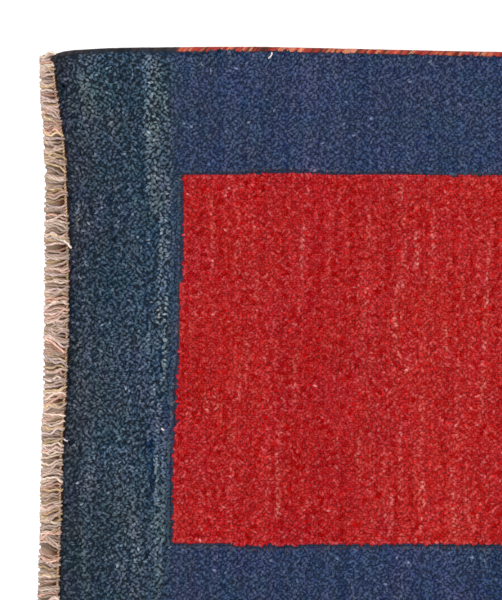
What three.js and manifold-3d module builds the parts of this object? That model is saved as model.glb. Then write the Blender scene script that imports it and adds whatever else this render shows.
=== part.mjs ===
// A small hand-knotted gabbeh rug, lying flat on the floor.
// It is one woven and knotted piece with a thick wool pile, an overcast cord along each side, and
// at each end a narrow woven strip with the ends of the warps left as a fringe of crimped yarns.
// Millimetres. X runs along the warps, Y along the wefts and Z up. The origin is on the floor,
// at the middle of the rug.

import * as THREE from "three";
import { mergeVertices } from "three/addons/utils/BufferGeometryUtils.js";
import Module from "manifold-3d";

// Driving dimensions
const rugLength = 948; // from fringe tip to fringe tip
const rugWidth = 626; // from selvedge to selvedge
const pileHeight = 13; // from the floor to the top of the pile
const pileOverhang = 2.5; // how far the pile leans out past its own foot
const seamGap = 0.5; // between the pile's foot and the piece beside it
const selvedgeDiameter = 7.2;
const stripWidth = 5.2; // the flat-woven strip at each end
const stripHeight = 2.6;
const warpYarns = 144; // in each fringe, one for each column of knots
const yarnWidth = 2.1;
const yarnHeight = 2;

// The pile's edge, from where it is widest, down to the floor
const rimHeight = 9.5; // where the pile is widest
const rimRun = 5; // how far in from there the top is rounded
const pileWall = [
  { inset: 0.6, height: 7.6 },
  { inset: pileOverhang, height: 5.5 },
  { inset: pileOverhang, height: 0 },
];
const netStations = [0, rimRun / 3, rimRun, 2.4 * rimRun]; // in from each edge, of the pile's net
const netCell = 26; // between those

// Long low waves that cross each other make the pile's top uneven
const lumps = [
  { size: 0.3, repeatAlong: 270, repeatAcross: 610 },
  { size: 0.3, repeatAlong: -560, repeatAcross: 232 },
];

// How far the pile's edge and the fringe's tips stand in from the rug's full length, across the rug
const nearEnd = [
  { across: -306, pileEdge: 23, fringeTip: 1.5 },
  { across: -275, pileEdge: 22.5, fringeTip: 0.5 },
  { across: -239, pileEdge: 22, fringeTip: 0 },
  { across: -171, pileEdge: 24.5, fringeTip: 2 },
  { across: -111, pileEdge: 25.5, fringeTip: 3 },
  { across: -71, pileEdge: 27, fringeTip: 4 },
  { across: -31, pileEdge: 30, fringeTip: 5.5 },
  { across: 9, pileEdge: 31.5, fringeTip: 5.5 },
  { across: 109, pileEdge: 32.5, fringeTip: 6.5 },
  { across: 169, pileEdge: 30.5, fringeTip: 7 },
  { across: 209, pileEdge: 29, fringeTip: 6 },
  { across: 235, pileEdge: 25, fringeTip: 5 },
  { across: 259, pileEdge: 22, fringeTip: 3 },
  { across: 275, pileEdge: 19, fringeTip: 2 },
  { across: 306, pileEdge: 17, fringeTip: 2 },
];
const farEnd = [
  { across: -306, pileEdge: 21, fringeTip: 1 },
  { across: -200, pileEdge: 23, fringeTip: 0 },
  { across: -80, pileEdge: 28, fringeTip: 4 },
  { across: 60, pileEdge: 29, fringeTip: 5 },
  { across: 200, pileEdge: 25, fringeTip: 2 },
  { across: 306, pileEdge: 21, fringeTip: 1 },
];

// How far the selvedge's outer line stands in from the rug's full width, along the rug
const backSide = [
  { along: -457, selvedgeLine: 7 },
  { along: -452, selvedgeLine: 5 },
  { along: -442, selvedgeLine: 3.6 },
  { along: -418, selvedgeLine: 2 },
  { along: -394, selvedgeLine: 1 },
  { along: -250, selvedgeLine: 0 },
  { along: -202, selvedgeLine: 1 },
  { along: -112, selvedgeLine: 3 },
  { along: -13, selvedgeLine: 5 },
  { along: 60, selvedgeLine: 5 },
  { along: 200, selvedgeLine: 3.6 },
  { along: 410, selvedgeLine: 2 },
  { along: 440, selvedgeLine: 3.6 },
  { along: 450, selvedgeLine: 5.4 },
  { along: 454, selvedgeLine: 7 },
];
const frontSide = [
  { along: -452, selvedgeLine: 7 },
  { along: -445, selvedgeLine: 4.4 },
  { along: -425, selvedgeLine: 2.4 },
  { along: -380, selvedgeLine: 1 },
  { along: -200, selvedgeLine: 0 },
  { along: 40, selvedgeLine: 1.6 },
  { along: 210, selvedgeLine: 2.2 },
  { along: 380, selvedgeLine: 1 },
  { along: 430, selvedgeLine: 2.6 },
  { along: 447, selvedgeLine: 4.6 },
  { along: 453, selvedgeLine: 7 },
];

// How the yarns of a fringe sway together: each lies in a slow lean and a quicker crimp
const lean = { size: 2.6, repeat: 66, grows: 24 };
const crimp = { size: 1.5, length: 15, repeat: 92, grows: 6 };
const endShift = 40; // so that the two fringes don't mirror each other
const tipUnevenness = 1.4;

// How finely the long curves are cut
const selvedgeSides = 8;
const selvedgeSteps = 60;
const stripSteps = 40;
const yarnSteps = 4;

// Worked out from the driving dimensions
const selvedgeRadius = selvedgeDiameter / 2;
const selvedgeShows = seamGap + selvedgeDiameter - pileOverhang;
const selvedgeTurn = 1.8; // its cut end, clear of the strip where it turns in at the corner
const stripShows = seamGap + stripWidth - pileOverhang;
const cornerInset = 7; // of the selvedge's line at the rug's corners
const endInset = 24; // of the pile's edge, on the whole
const nominalLength = rugLength - 2 * endInset;
const nominalWidth = rugWidth - 2 * selvedgeShows;
const fullTurn = 2 * Math.PI;

// Reads a column of a table between its rows, smoothly
function read(table, key, column, at) {
  const last = table.length - 1;
  let i = table.findIndex((row) => row[key] > at) - 1;
  if (at >= table[last][key]) i = last - 1;
  i = THREE.MathUtils.clamp(i, 0, last - 1);
  const share = THREE.MathUtils.clamp((at - table[i][key]) / (table[i + 1][key] - table[i][key]), 0, 1);
  const slope = (n) => {
    const a = table[Math.max(n - 1, 0)];
    const b = table[Math.min(n + 1, last)];
    return (b[column] - a[column]) / (b[key] - a[key]);
  };
  const run = table[i + 1][key] - table[i][key];
  const s2 = share * share;
  const s3 = s2 * share;
  return (
    (2 * s3 - 3 * s2 + 1) * table[i][column] +
    (s3 - 2 * s2 + share) * run * slope(i) +
    (3 * s2 - 2 * s3) * table[i + 1][column] +
    (s3 - s2) * run * slope(i + 1)
  );
}

// The four lines where the pile is widest
const pileEdge = {
  near: (y) => -rugLength / 2 + read(nearEnd, "across", "pileEdge", y),
  far: (y) => rugLength / 2 - read(farEnd, "across", "pileEdge", y),
  back: (x) => rugWidth / 2 - read(backSide, "along", "selvedgeLine", x) - selvedgeShows,
  front: (x) => -rugWidth / 2 + read(frontSide, "along", "selvedgeLine", x) + selvedgeShows,
};

// The place of a point that is `along` from the near end and `across` from the front side. Where
// the ends are depends on its y and where the sides are on its x, so it is settled in a few rounds.
function place(along, across) {
  const spot = new THREE.Vector2(along - nominalLength / 2, across - nominalWidth / 2);
  for (let round = 0; round < 4; round++) {
    spot.x = THREE.MathUtils.lerp(pileEdge.near(spot.y), pileEdge.far(spot.y), along / nominalLength);
    spot.y = THREE.MathUtils.lerp(pileEdge.front(spot.x), pileEdge.back(spot.x), across / nominalWidth);
  }
  return spot;
}

// Distances across a span: close together at the rounded rim, and a cell apart in between
function stations(span) {
  const first = netStations[netStations.length - 1];
  const between = span - 2 * first;
  const cells = Math.round(between / netCell);
  const inner = Array.from({ length: cells - 1 }, (_, i) => first + ((i + 1) * between) / cells);
  return [...netStations, ...inner, ...netStations.map((d) => span - d).reverse()];
}

// The pile's height at a point that is `fromEdge` inside its widest line
function topOfPile(spot, fromEdge) {
  const inwards = Math.min(fromEdge / rimRun, 1);
  const round = Math.sqrt(1 - (1 - inwards) ** 2);
  let lump = 0;
  let highest = 0;
  for (const { size, repeatAlong, repeatAcross } of lumps) {
    lump += size * Math.sin(fullTurn * (spot.x / repeatAlong + spot.y / repeatAcross));
    highest += size;
  }
  return rimHeight + (pileHeight - highest - rimHeight) * round + lump * inwards;
}

// The knotted body: a slab with an uneven top, a rounded rim and a foot set back under the pile
function pileGeometry() {
  const alongs = stations(nominalLength);
  const acrosses = stations(nominalWidth);
  const positions = [];
  const faces = [];
  const addVertex = (spot, height) => {
    positions.push(spot.x, spot.y, height);
    return positions.length / 3 - 1;
  };

  const top = alongs.map((along) =>
    acrosses.map((across) => {
      const fromEdge = Math.min(along, nominalLength - along, across, nominalWidth - across);
      const spot = place(along, across);
      return addVertex(spot, topOfPile(spot, fromEdge));
    }),
  );
  const lastAlong = alongs.length - 1;
  const lastAcross = acrosses.length - 1;
  for (let i = 0; i < lastAlong; i++) {
    for (let j = 0; j < lastAcross; j++) {
      faces.push(top[i][j], top[i + 1][j], top[i + 1][j + 1]);
      faces.push(top[i][j], top[i + 1][j + 1], top[i][j + 1]);
    }
  }

  const rim = [];
  for (let i = 0; i < lastAlong; i++) rim.push([i, 0]);
  for (let j = 0; j < lastAcross; j++) rim.push([lastAlong, j]);
  for (let i = lastAlong; i > 0; i--) rim.push([i, lastAcross]);
  for (let j = lastAcross; j > 0; j--) rim.push([0, j]);

  let upper = rim.map(([i, j]) => top[i][j]);
  let foot = [];
  for (const { inset, height } of pileWall) {
    foot = rim.map(([i, j]) =>
      place(
        THREE.MathUtils.clamp(alongs[i], inset, nominalLength - inset),
        THREE.MathUtils.clamp(acrosses[j], inset, nominalWidth - inset),
      ),
    );
    const lower = foot.map((spot) => addVertex(spot, height));
    upper.forEach((a, n) => {
      const next = (n + 1) % upper.length;
      faces.push(a, lower[n], lower[next]);
      faces.push(a, lower[next], upper[next]);
    });
    upper = lower;
  }
  for (const [a, b, c] of THREE.ShapeUtils.triangulateShape(foot, [])) {
    faces.push(upper[a], upper[c], upper[b]);
  }
  return solidGeometry(positions, faces);
}

function solidGeometry(positions, faces) {
  const geometry = new THREE.BufferGeometry();
  geometry.setAttribute("position", new THREE.Float32BufferAttribute(positions, 3));
  geometry.setIndex(faces);
  geometry.computeVertexNormals();
  return geometry;
}

// A section given as points [to the left of the path, above it], carried along a level path
function sweep(section, points, steps) {
  const shape = new THREE.Shape(section.map(([side, up]) => new THREE.Vector2(-up, side)));
  const path = new THREE.CatmullRomCurve3(points);
  return new THREE.ExtrudeGeometry(shape, { steps, extrudePath: path });
}

// The overcast cord along one side, in a frame on its axis at the outermost line of that side
function selvedgeGeometry(table, outward) {
  const corner = selvedgeRadius / Math.cos(Math.PI / selvedgeSides);
  const section = Array.from({ length: selvedgeSides }, (_, i) => {
    const angle = ((i + 0.5) * fullTurn) / selvedgeSides;
    return [corner * Math.cos(angle), corner * Math.sin(angle)];
  });
  const y = outward * (rugWidth / 2 - cornerInset);
  const start = pileEdge.near(y) + pileOverhang + selvedgeTurn;
  const end = pileEdge.far(y) - pileOverhang - selvedgeTurn;
  const isBetween = (x) => x > start + selvedgeRadius && x < end - selvedgeRadius;
  const inner = table.map((row) => row.along).filter(isBetween);
  const points = [start, ...inner, end].map((x) => {
    const inset = read(table, "along", "selvedgeLine", x) + selvedgeRadius;
    return new THREE.Vector3(x, -outward * inset, 0);
  });
  return sweep(section, points, selvedgeSteps);
}

// How far a warp yarn lies to one side, at a reach beyond the strip
function sway(across, reach) {
  const slow = lean.size * (reach / lean.grows) * Math.sin((fullTurn * across) / lean.repeat);
  const quick = Math.sin(fullTurn * (reach / crimp.length + across / crimp.repeat));
  return slow + (crimp.size * quick * reach) / (reach + crimp.grows);
}

// A number from 0 to 1 that looks random and is the same each time
function scatter(n) {
  const value = Math.sin(n * 12.9898) * 43758.5453;
  return value - Math.floor(value);
}

// One end's woven strip and its warp yarns, fused at their roots, in a frame at that end's tip
function fringeGeometry(wasm, table, outward) {
  const pileLine = (y) => -outward * read(table, "across", "pileEdge", y);
  const middle = outward * (stripShows - stripWidth / 2);
  const halfWidth = rugWidth / 2 - cornerInset;
  const stripPath = Array.from({ length: stripSteps / 2 + 1 }, (_, i) => {
    const y = halfWidth * ((4 * i) / stripSteps - 1);
    return new THREE.Vector3(pileLine(y) + middle, y, 0);
  });
  const half = stripWidth / 2;
  const stripSection = [[-half, 0], [half, 0], [half, stripHeight], [-half, stripHeight]];
  const solids = [solidFrom(wasm, sweep(stripSection, stripPath, stripSteps))];

  const yarnSection = [[-yarnWidth / 2, 0], [yarnWidth / 2, 0], [0, yarnHeight]];
  const pitch = (2 * halfWidth - yarnWidth) / (warpYarns - 1);
  for (let i = 0; i < warpYarns; i++) {
    const y = pitch * (i - (warpYarns - 1) / 2);
    const cut = tipUnevenness * scatter(i + outward * warpYarns);
    const tip = -outward * (read(table, "across", "fringeTip", y) + cut);
    const root = pileLine(y) + middle;
    const points = Array.from({ length: yarnSteps + 1 }, (_, n) => {
      const x = THREE.MathUtils.lerp(root, tip, n / yarnSteps);
      const reach = Math.max(Math.abs(x - root) - half, 0);
      return new THREE.Vector3(x, y + sway(y + endShift * outward, reach), 0);
    });
    solids.push(solidFrom(wasm, sweep(yarnSection, points, yarnSteps)));
  }
  return geometryFrom(wasm.Manifold.union(solids));
}

function solidFrom(wasm, geometry) {
  const bare = geometry.clone();
  bare.deleteAttribute("normal");
  bare.deleteAttribute("uv");
  const merged = mergeVertices(bare, 1e-4);
  return new wasm.Manifold(
    new wasm.Mesh({
      numProp: 3,
      vertProperties: merged.attributes.position.array,
      triVerts: new Uint32Array(merged.index.array),
    }),
  );
}

function geometryFrom(solid) {
  const mesh = solid.getMesh();
  return solidGeometry(Array.from(mesh.vertProperties), Array.from(mesh.triVerts));
}

function wool(color) {
  return new THREE.MeshStandardMaterial({ color, roughness: 0.95, metalness: 0 });
}

function piece(name, geometry, material) {
  const mesh = new THREE.Mesh(geometry, material);
  mesh.name = name;
  return mesh;
}

const wasm = await Module();
wasm.setup();

const rug = new THREE.Group();
rug.add(piece("pile_field", pileGeometry(), wool(0x37425b)));

for (const [name, table, outward] of [["selvedge_back", backSide, 1], ["selvedge_front", frontSide, -1]]) {
  const cord = piece(name, selvedgeGeometry(table, outward), wool(0xb23a2a));
  cord.position.set(0, (outward * rugWidth) / 2, selvedgeRadius);
  rug.add(cord);
}

for (const [name, table, outward] of [["fringe_near", nearEnd, -1], ["fringe_far", farEnd, 1]]) {
  const fringe = piece(name, fringeGeometry(wasm, table, outward), wool(0xae9583));
  fringe.position.set((outward * rugLength) / 2, 0, 0);
  rug.add(fringe);
}

export default rug;
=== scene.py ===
# A small hand-knotted gabbeh rug lying flat on a pale floor, seen from straight above.
# Every tuft of the pile, wrap of the selvedges and yarn of the fringes is a shape of its own.
# The tables are in millimetres from the middle of the rug: x runs along the warps, y along the
# wefts. Meshes are in metres, as Blender and the frame have them.

import bpy
import numpy as np
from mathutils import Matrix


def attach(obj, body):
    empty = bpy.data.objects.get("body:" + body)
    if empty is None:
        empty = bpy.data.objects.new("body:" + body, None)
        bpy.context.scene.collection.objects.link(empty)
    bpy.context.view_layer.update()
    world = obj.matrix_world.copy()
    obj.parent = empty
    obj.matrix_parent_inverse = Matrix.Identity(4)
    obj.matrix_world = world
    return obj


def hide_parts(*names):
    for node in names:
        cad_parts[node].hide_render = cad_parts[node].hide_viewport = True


MM = 0.001
FULL_TURN = 2 * np.pi
NOISE_CELLS = 64
# Where a yarn points up more than this, its sides are measured from x and not from z
STEEP = 0.7

# The pile's mean length and width, its knots and its heights
LENGTH = 900
WIDTH = 616
KNOT_PITCH = 4.5
KNOTS_LONG = round(LENGTH / KNOT_PITCH)
KNOTS_WIDE = round(WIDTH / KNOT_PITCH)
PILE_TOP = 12.6
RIM_HEIGHT = 9.5
RIM_RUN = 5.0
# Points of the CAD this close in height are in one line, and its edges are within these of its ends
# and sides
SAME_HEIGHT = 0.05
END_ZONE = 22
SIDE_ZONE = 12
# The tufts: their size, their shape, the painted shade on their shoulders and painted highlight on their
# tips, and how much stronger in colour their painted feet are
TUFT_WIDTH = 4.7
TUFT_WIDTHS = (0.85, 1.15)
TUFT_OVALS = (0.6, 0.88)
TUFT_CROWN = 0.9
TUFT_DEPTH = 3.6
SHOULDER_WIDTH = 0.88
FOOT_WIDTH = 0.8
SHOULDER_SHADE = 0.88
TIP_SHADE = 1.24
DEEPER = 2.2
# How far inside the pile's edge their ends stay, and how far they stray, lean, turn and differ in height
LEAST_INSET = 1
END_STRAY = 0.45
LEAN = 0.9
KNOT_LEAN_SPREAD = 0.55
END_LEAN_SPREAD = 0.5
FOOT_LEAN = 0.3
TURN_SPREAD = 0.9
TOP_SPREAD = 0.4
TOP_SWELL = 0.3
MOST_ABOVE_TOP = 1
# The three wools, grey-blue at the ends, indigo and red: how light the tufts' feet are painted, for the
# shade and the light bounced down between the tufts, how full the tufts, the share of short ones, and
# how much the tones vary from knot to knot, from end to end and in each channel
GREY_WOOL, INDIGO_WOOL, RED_WOOL = range(3)
FOOT_SHADES = np.array([0.75, 1.15, 1.9])
FULLNESS = np.array([1.0, 1.08, 1.1])
SHORT_ENDS = np.array([0.1, 0.07, 0.09])
KNOT_CONTRASTS = np.array([7.0, 5.0, 8.0])
END_CONTRASTS = np.array([10.5, 5.0, 7.5])
CONTRAST_TINTS = np.array([[1, 1, 1], [1, 1, 1], [0.75, 1.4, 1.35]])
GREY_WOOL_FROM = 344
# How much of the lumps of like tones that chance makes is taken out
LUMPS_OUT = 0.85
# The few bright ends: their share in each wool, and how much brighter they are, on average and at most
BRIGHT_ENDS = np.array([0.022, 0.011, 0.003])
BRIGHTER_BY = 24
BRIGHTEST = 45
TONE_LIMITS = (6, 250)
# How much lower the short ends are and how much darker they are painted, for the shade they sit in,
# and the painted shade at the pile's edge, for the shade on its sides and under its overhang: how dark
# and how wide
SHORT_BY = 2.4
SHORT_DARKER = 12
EDGE_SHADE = 0.42
EDGE_SHADE_RUN = 1.8
PIECES_OF_PILE = 5
# The rim, in layers of a height, an inset and a drop to the root
RIM_LAYERS = [(9.6, 0.5, 1.4), (7.9, 0.7, 0.9), (6.2, 1.1, 0.5)]
RIM_UPPER_FROM = 7
RIM_SPACING = 1.9
RIM_TUFT_WIDTH = 3.2
RIM_TUFT_RUN = 3.4
RIM_BAND = 3.5
RIM_WIDTHS = (0.8, 1.15)
RIM_SHOULDER = 0.75
RIM_SLIDE = 0.7
RIM_UNEVEN_UP = 0.45
RIM_UNEVEN_OUT = 0.25
RIM_CONTRAST = 5
# The ground: its sides are straight up to a height, and lean in above it
GROUND_INSET = 2.7
GROUND_STRAIGHT = 5
GROUND_TAPER = 1.2
GROUND_TOP = 9.8
GROUND_CELLS = (72, 48)

# The field, whose edges wander a little, as hand-knotted ones do
FIELD_HALF_LENGTH = 333
FIELD_HALF_WIDTH = 186.6
FIELD_TILT = 0.03
# How far the columns of knots wander sideways at the field's back and front edges, along the rug
BACK_COURSE = [
    (-340, -2.2), (-307, -1.8), (-277, -0.9), (-247, 0.7), (-217, 1.8), (-187, -0.3), (-157, -0.6),
    (-127, 1.7), (-97, -0.6), (-67, -1.3), (-37, -0.1), (-7, -1.2), (150, -0.5), (340, -1.5),
]
FRONT_COURSE = [
    (-340, 1.4), (-307, 1.3), (-277, 0.8), (-247, -1.9), (-217, -1.5), (-187, -0.1), (-127, 0.2),
    (-67, 0.5), (-7, -0.9), (340, -0.3),
]
# How far from the ends the rows of knots follow the rug's uneven edge, and how often a knot's place is
# worked out, as each of its two measures follows the other
END_BEND = 90
PLACING_ROUNDS = 3
# Where the two wools meet the pile parts a little and looks darker: how far, and by how much, and the
# tints that paint the shade of the parting, darker on the border's side and paler on the field's
MEETING_RUN = 2.6
PARTING = 1.8
MEETING_TINTS = np.array([[3, -8, -24], [0, 10, 12]])
# How mottled the field's wool is, against the border's, and how mottled that is in all its channels,
# and in red and blue alone in wide and in narrow lumps
FIELD_MOTTLING = 0.7
MOTTLING = 1.8
WIDE_TINTS = 3.5
NARROW_TINTS = 4.5

# The border's wool changes tone from one dye lot to the next along the rug, as (x, tone)
BORDER_TONES = [
    (-450, (57, 65, 76)), (-436, (60, 71, 84)), (-418, (61, 76, 90)), (-369, (60, 76, 93)),
    (-350, (58, 73, 90)), (-341, (55, 68, 90)), (-332, (55, 67, 94)), (0, (55, 67, 96)),
    (332, (54, 67, 94)), (341, (55, 69, 90)), (350, (57, 73, 90)), (372, (58, 74, 90)),
    (404, (59, 75, 90)), (436, (60, 71, 84)), (450, (57, 65, 76)),
]
FIELD_TONES = [
    (-340, (161, 36, 37)), (-260, (163, 37, 38)), (-200, (160, 34, 37)), (-125, (161, 38, 39)),
    (-90, (167, 42, 41)), (-20, (165, 39, 39)), (90, (160, 36, 38)), (180, (166, 41, 41)),
    (340, (162, 37, 39)),
]
# How far the rows of knots run askew, from the front of the rug to its back, and the share of it at
# places along the rug
ROW_COURSE = [
    (-308, -12), (-183, -10.6), (-143, -10.1), (-91, -9.5), (-56, -6.6), (-21, -5.2), (14, -0.3),
    (49, 1.2), (84, 3.5), (119, 4.7), (154, 4.8), (188, 5.1), (308, 6.2),
]
ASKEW_SHARE = [
    (-450, 0), (-400, 0.05), (-365, 0.15), (-335, 0.72), (-117, 1), (100, 0.7), (333, 0.4), (450, 0),
]
# The paler rows: how strong and of what tint they are, how they fade at their ends, and how broken
PALENESS = 1.8
PALE_TINTS = np.array([[1.15, 1.05, 0.85], [0.45, 1.15, 1.0]])
PALE_END_RUN = 12
PALE_END_SHARE = 0.3
PALE_MEAN = 0.85
PALE_SWING = 0.35
# Fainter streaks: how strong they are in each wool, and for each size the strength, width and length
STREAKINESS = np.array([1.0, 0.72, 0.8])
STREAKS = [(7, 2.4, 100), (7, 4.6, 120), (5.5, 8.5, 140), (2.5, 15, 180)]
STREAK_TINTS = np.array([[1, 1, 1], [1, 1, 1], [0.75, 1.15, 1.05]])
# How much further in the border's tones change beyond the field's ends than along its sides
BESIDE_FIELD_LAG = 9
# Rows of paler wool, and a few of darker: whether in the field, how much paler, the places it runs
# through, as (y, x), and half the row's width, where it isn't the usual one
PALE_HALF = 2.1
PALE_ROWS = [
    (False, 10, [(240, -425), (308, -425)], 9), (False, 15, [(145, -360.5), (308, -359.5)], 8.5),
    (False, 11, [(140, -355.5), (308, -354.5)], 2.8), (False, -5, [(259, -364.7), (299, -365)]),
    (False, 12, [(214, -345), (274, -347.5)]), (False, 23, [(131, -434), (159, -434)]),
    (False, 18, [(87, -345), (184, -344.5)]), (False, 31, [(94, -351.4), (154, -351)]),
    (False, 28, [(37, -353.5), (94, -351.5)]), (False, 24, [(-31, -349.2), (29, -346.8), (89, -345.8)]),
    (False, 12, [(4, -364), (29, -364.5)]), (False, 14, [(-56, -359.5), (-26, -358)]),
    (False, 15, [(-66, -356), (-31, -348.5)]), (False, 20, [(-211, -355), (-133, -356), (-61, -355.8)]),
    (False, 14, [(-186, -349.8), (-66, -348.3)]), (False, 6, [(-308, -353), (-205, -354)], 3),
    (False, 10, [(-146, -421.3), (-96, -421)]), (False, 9, [(-216, -377), (-161, -378)]),
    (False, 8, [(-308, -377.5), (-105, -376.5)], 5), (False, -25, [(-148, -361), (-78, -361)]),
    (False, -23, [(-18, -351), (17, -351)]), (False, -15, [(-233, -384), (-183, -384)]),
    (False, 18, [(-308, 348), (-20, 351)], 3), (False, 16, [(-90, 359), (308, 363)]),
    (False, 12, [(60, 380), (308, 382)], 7), (False, 14, [(-240, 398), (30, 399)]),
    (True, 20, [(86, -300), (124, -299.5), (161, -301.5)]), (True, 14, [(104, -258), (149, -258.5)]),
    (True, 18, [(44, -255.5), (89, -255.7)]), (True, 24, [(46, -212.7), (94, -210), (141, -208)]),
    (True, 13, [(104, -144.3), (159, -144.5)]), (True, 30, [(154, -111.5), (178, -112)]),
    (True, 17, [(61, -111), (109, -108), (159, -107.5)]),
    (True, 21, [(4, -117.5), (44, -116.5), (84, -114)]), (True, 27, [(84, -95.3), (129, -95.5)]),
    (True, 20, [(84, -80.5), (114, -79), (153, -78)]),
    (True, 18, [(-66, -31), (-26, -28.5), (34, -26.5), (94, -24), (126, -24)]),
    (True, 3, [(-110, -45), (-51, -43), (69, -38.5)]), (True, 14, [(-31, -151), (91, -147.5)]),
    (True, 19, [(-1, -265), (29, -266)]), (True, 17, [(-46, -274), (6, -270.5)]),
    (True, 20, [(-51, -218.3), (16, -215.7)]), (True, 17, [(-59, -305.5), (-29, -305.5)]),
    (True, 13, [(-59, -295.5), (-29, -295.5)]), (True, 17, [(-11, -64), (36, -67)]),
    (True, 28, [(-21, -105.7), (4, -106)]), (True, 9, [(-111, -92.5), (-51, -90), (29, -88.5)]),
    (True, 14, [(-101, -57), (-4, -54.5)]), (True, 7, [(-179, -283.5), (-116, -281), (-56, -278)]),
    (True, 26, [(-161, -234.3), (-66, -234.3)]), (True, 17, [(-131, -153), (-71, -153.5)]),
    (True, 14, [(-151, -112.8), (-96, -111.5), (-46, -109.5)]),
    (True, 23, [(-180, -120.8), (-131, -121)]), (True, 8, [(-166, -126.7), (-90, -127)]),
    (True, 15, [(-186, -90), (-109, -92.7)]), (True, 22, [(-150, -87.8), (-116, -90.5)]),
    (True, 21, [(-186, -57.2), (-107, -59.5)]), (True, 10, [(-186, -42.5), (-109, -46)]),
    (True, 9, [(-186, -33.5), (-129, -35.5)]), (True, -15, [(-159, -116), (-129, -116)]),
    (True, -15, [(-174, -96), (-139, -96)]), (True, -15, [(109, -84.3), (146, -84.3)]),
    (False, -14, [(-77, -357.5), (-30, -356)]), (False, -8, [(-87, -347), (-37, -347)]),
    (False, 16, [(-230, -351.5), (-177, -350.5)]), (False, 13, [(3, -356), (53, -355)]),
    (False, 13, [(153, -351), (203, -351)]), (False, 11, [(-230, -388), (-177, -388)]),
    (False, 12, [(-57, -436), (-7, -436)]), (True, -12, [(-107, -109.5), (-57, -109)]),
    (True, 11, [(-127, -230), (-77, -230)]), (True, -11, [(-37, -92), (13, -92)]),
    (True, 11, [(-7, -114), (43, -114)]), (False, -12, [(157, -368.5), (227, -368)]),
    (False, 12, [(-147, -369), (-97, -369)]), (True, 12, [(3, -321), (53, -321)]),
    (True, 12, [(33, -312), (83, -312)]), (True, 10, [(-87, -229), (-37, -229)]),
    (True, -11, [(-137, -49), (-87, -49)]), (True, -11, [(113, -105), (163, -105)]),
    (True, -11, [(-67, -107), (-17, -107)]), (True, 9, [(-47, -119), (3, -119)]),
    (True, 13, [(-186, 40), (30, 48)]), (True, 15, [(-60, 116), (186, 123)], 3),
    (True, 11, [(-140, 168), (60, 174)]), (True, 16, [(-186, 229), (110, 235)], 3.2),
    (True, 12, [(20, 289), (186, 291)]),
]

SELVEDGE_RADIUS = 3.6
SELVEDGE_RELIEF = 0.3
SELVEDGE_WRAP = 2.5
SELVEDGE_STARTS = 6
SELVEDGE_SIDES = 12
SELVEDGE_STEP = 0.625
SELVEDGE_TIP = 0.6
SELVEDGE_UNEVEN = 0.12
OFF_THE_FLOOR = 0.05
# How far its wraps wander, how dark the painted shade in the grooves between them is, and how much the
# tones vary along it, as (strength, size, seed)
WRAP_WANDER = 0.45
GROOVE_SHADE = 0.12
WRAP_CONTRASTS = [(0.22, 14, 64), (0.12, 3.1, 65)]
# Beyond this, towards either end, the selvedges are wrapped in dark wool
SELVEDGE_DARK_FROM = 337
DARK_CHANGE_RUN = 3
WRAP_TONES = [
    (174, 66, 54), (196, 124, 96), (138, 40, 38), (166, 60, 50), (104, 54, 42), (186, 100, 72),
    (158, 62, 54), (84, 50, 42),
]
WRAP_DARK_TONES = [(52, 47, 49), (42, 40, 45), (60, 54, 56), (38, 39, 46), (48, 50, 58)]
# Where the pile leans out over the selvedge, from x, to x and how far, and over the fringe at the
# corners, from y on
OVERHANGS = [(-480, -337, 2.4), (-290, -273, 4.6), (-238, -232, 2.5), (-100, -92, 3.0), (214, 228, 3.5)]
SIDE_OVERHANG = 1.2
END_OVERHANG = 1.5
CORNER_FROM = 290
CORNER_OVERHANG = 8.0
CORNER_CORD = 6.5
CORNER_CORD_IN = 7.0

# Of the fringe: how many yarns lie in each layer, how thick and high, how far they follow the locks,
# lean and wander, and how light they are painted at the root and at the tip: lower layers and roots
# darker, as painted shade under the yarns above and the pile's edge, tips lighter, as painted light
FRINGE_LAYERS = [
    (180, 2.5, 0.3, 0.9, 1.6, 1.6, 0.32, 0.61),
    (120, 2.4, 1.2, 1.0, 3.0, 2.1, 0.58, 0.78),
    (58, 2.4, 2.2, 1.0, 4.4, 2.4, 0.77, 0.81),
]
# For each layer, how far its yarns gather into bunches, and the share that starts over the strip
GATHER = (1.2, 2.2, 2.8)
OVER_STRIP = (0.15, 0.5, 0.75)
OVER_STRIP_FROM = 3.1
FRINGE_RINGS = 15
FRINGE_MARGIN = 1.5
FRINGE_LEAN = 5.5
PATCHINESS = 0.16
# How uneven the yarns' roots and tips are, and how far the tips reach past the CAD's
ROOTS_UNEVEN = 0.3
ROOTS_SPREAD = 0.8
TIPS_UNEVEN = 0.4
TIPS_PAST = 0.8
TIP_BAND = 8.6
# How the yarns wander, together and alone, and from how far out fully
WANDER_LENGTH = 7.0
SHARED_WANDER = 1.4
LONE_WANDER = 0.8
WANDER_FROM = 4
# How soon they rise to their height, less soon where they don't start over the strip, the room under
# them, and how much they sink again towards their tips
RISE = 3
RISE_OVER_STRIP = 1.8
YARN_ROOM = 0.25
SINK = 0.5
# The yarn: its sides, the turn of its plies, and how uneven it is in thickness and tone
YARN_SIDES = 6
PLY_TURN = 5.0
PLY_RELIEF = 0.14
PLY_SHADE = 0.22
YARN_UNEVEN = 0.08
YARN_CONTRAST = 0.14
GRIME = 0.3
# How far apart neighbouring yarns lie in the noise that varies them
YARNS_APART = 5.3
# The lowest yarns lie so close that they are one mat, whose dark tones also paint the shade under the
# yarns above and the pile's edge: how far it stays inside the tips and reaches under the pile, its
# rounded corners, its height, and how uneven its end and its tones are
MAT_INSET = 0.2
MAT_UNDER_PILE = 2
MAT_CORNER = 4
MAT_HEIGHT = 0.7
MAT_STEP = 1.5
MAT_UNEVEN = 0.6
MAT_CONTRAST = 0.6
# Across the mat, from the pile out along its top and back along its underside: the share of the way,
# the share of the height, and the tone, dark near the pile as painted shade and light at the tips
MAT_SECTION = [
    (0, 1, (62, 34, 20)),
    (0.4, 1, (72, 42, 28)),
    (0.97, 1, (158, 136, 118)),
    (1, 0.1, (158, 136, 118)),
    (0, 0.1, (72, 42, 28)),
]
STRIP_SHOWS = 4.0
STRIP_HEIGHT = 1.8
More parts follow.
